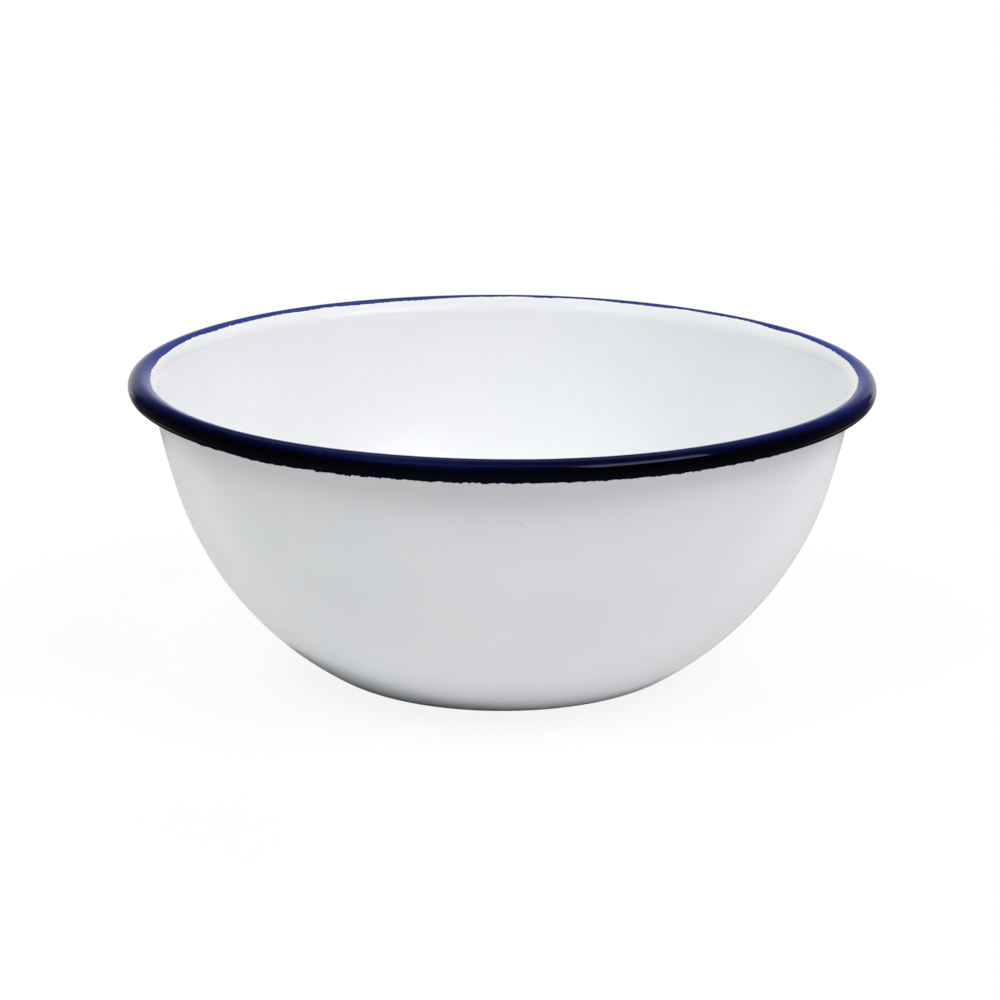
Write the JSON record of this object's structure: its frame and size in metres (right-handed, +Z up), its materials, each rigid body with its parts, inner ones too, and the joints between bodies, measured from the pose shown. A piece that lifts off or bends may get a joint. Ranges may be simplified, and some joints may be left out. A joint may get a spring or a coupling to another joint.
{
  "type": "pudding bowl",
  "caption": "Round enamelled steel pudding bowl with a deep curved wall, a small flat base and a rolled rim edged in dark blue.",
  "frame": {"origin": "centre of the base, on the plane that the bowl stands on", "axes": "+Z up along the bowl's axis of revolution; X and Y lie in the table's plane and are free to choose"},
  "size_m": [0.16, 0.16, 0.0665],
  "materials": {
    "steel": "satin",
    "ground_enamel": "satin",
    "white_enamel": "gloss",
    "blue_enamel": "gloss"
  },
  "bodies": {
    "root": {"steel_shell": "steel", "ground_coat_inside": "ground_enamel", "ground_coat_outside": "ground_enamel", "white_coat_inside": "white_enamel", "white_coat_outside": "white_enamel", "blue_rim_coat": "blue_enamel"}
  },
  "joints": []
}
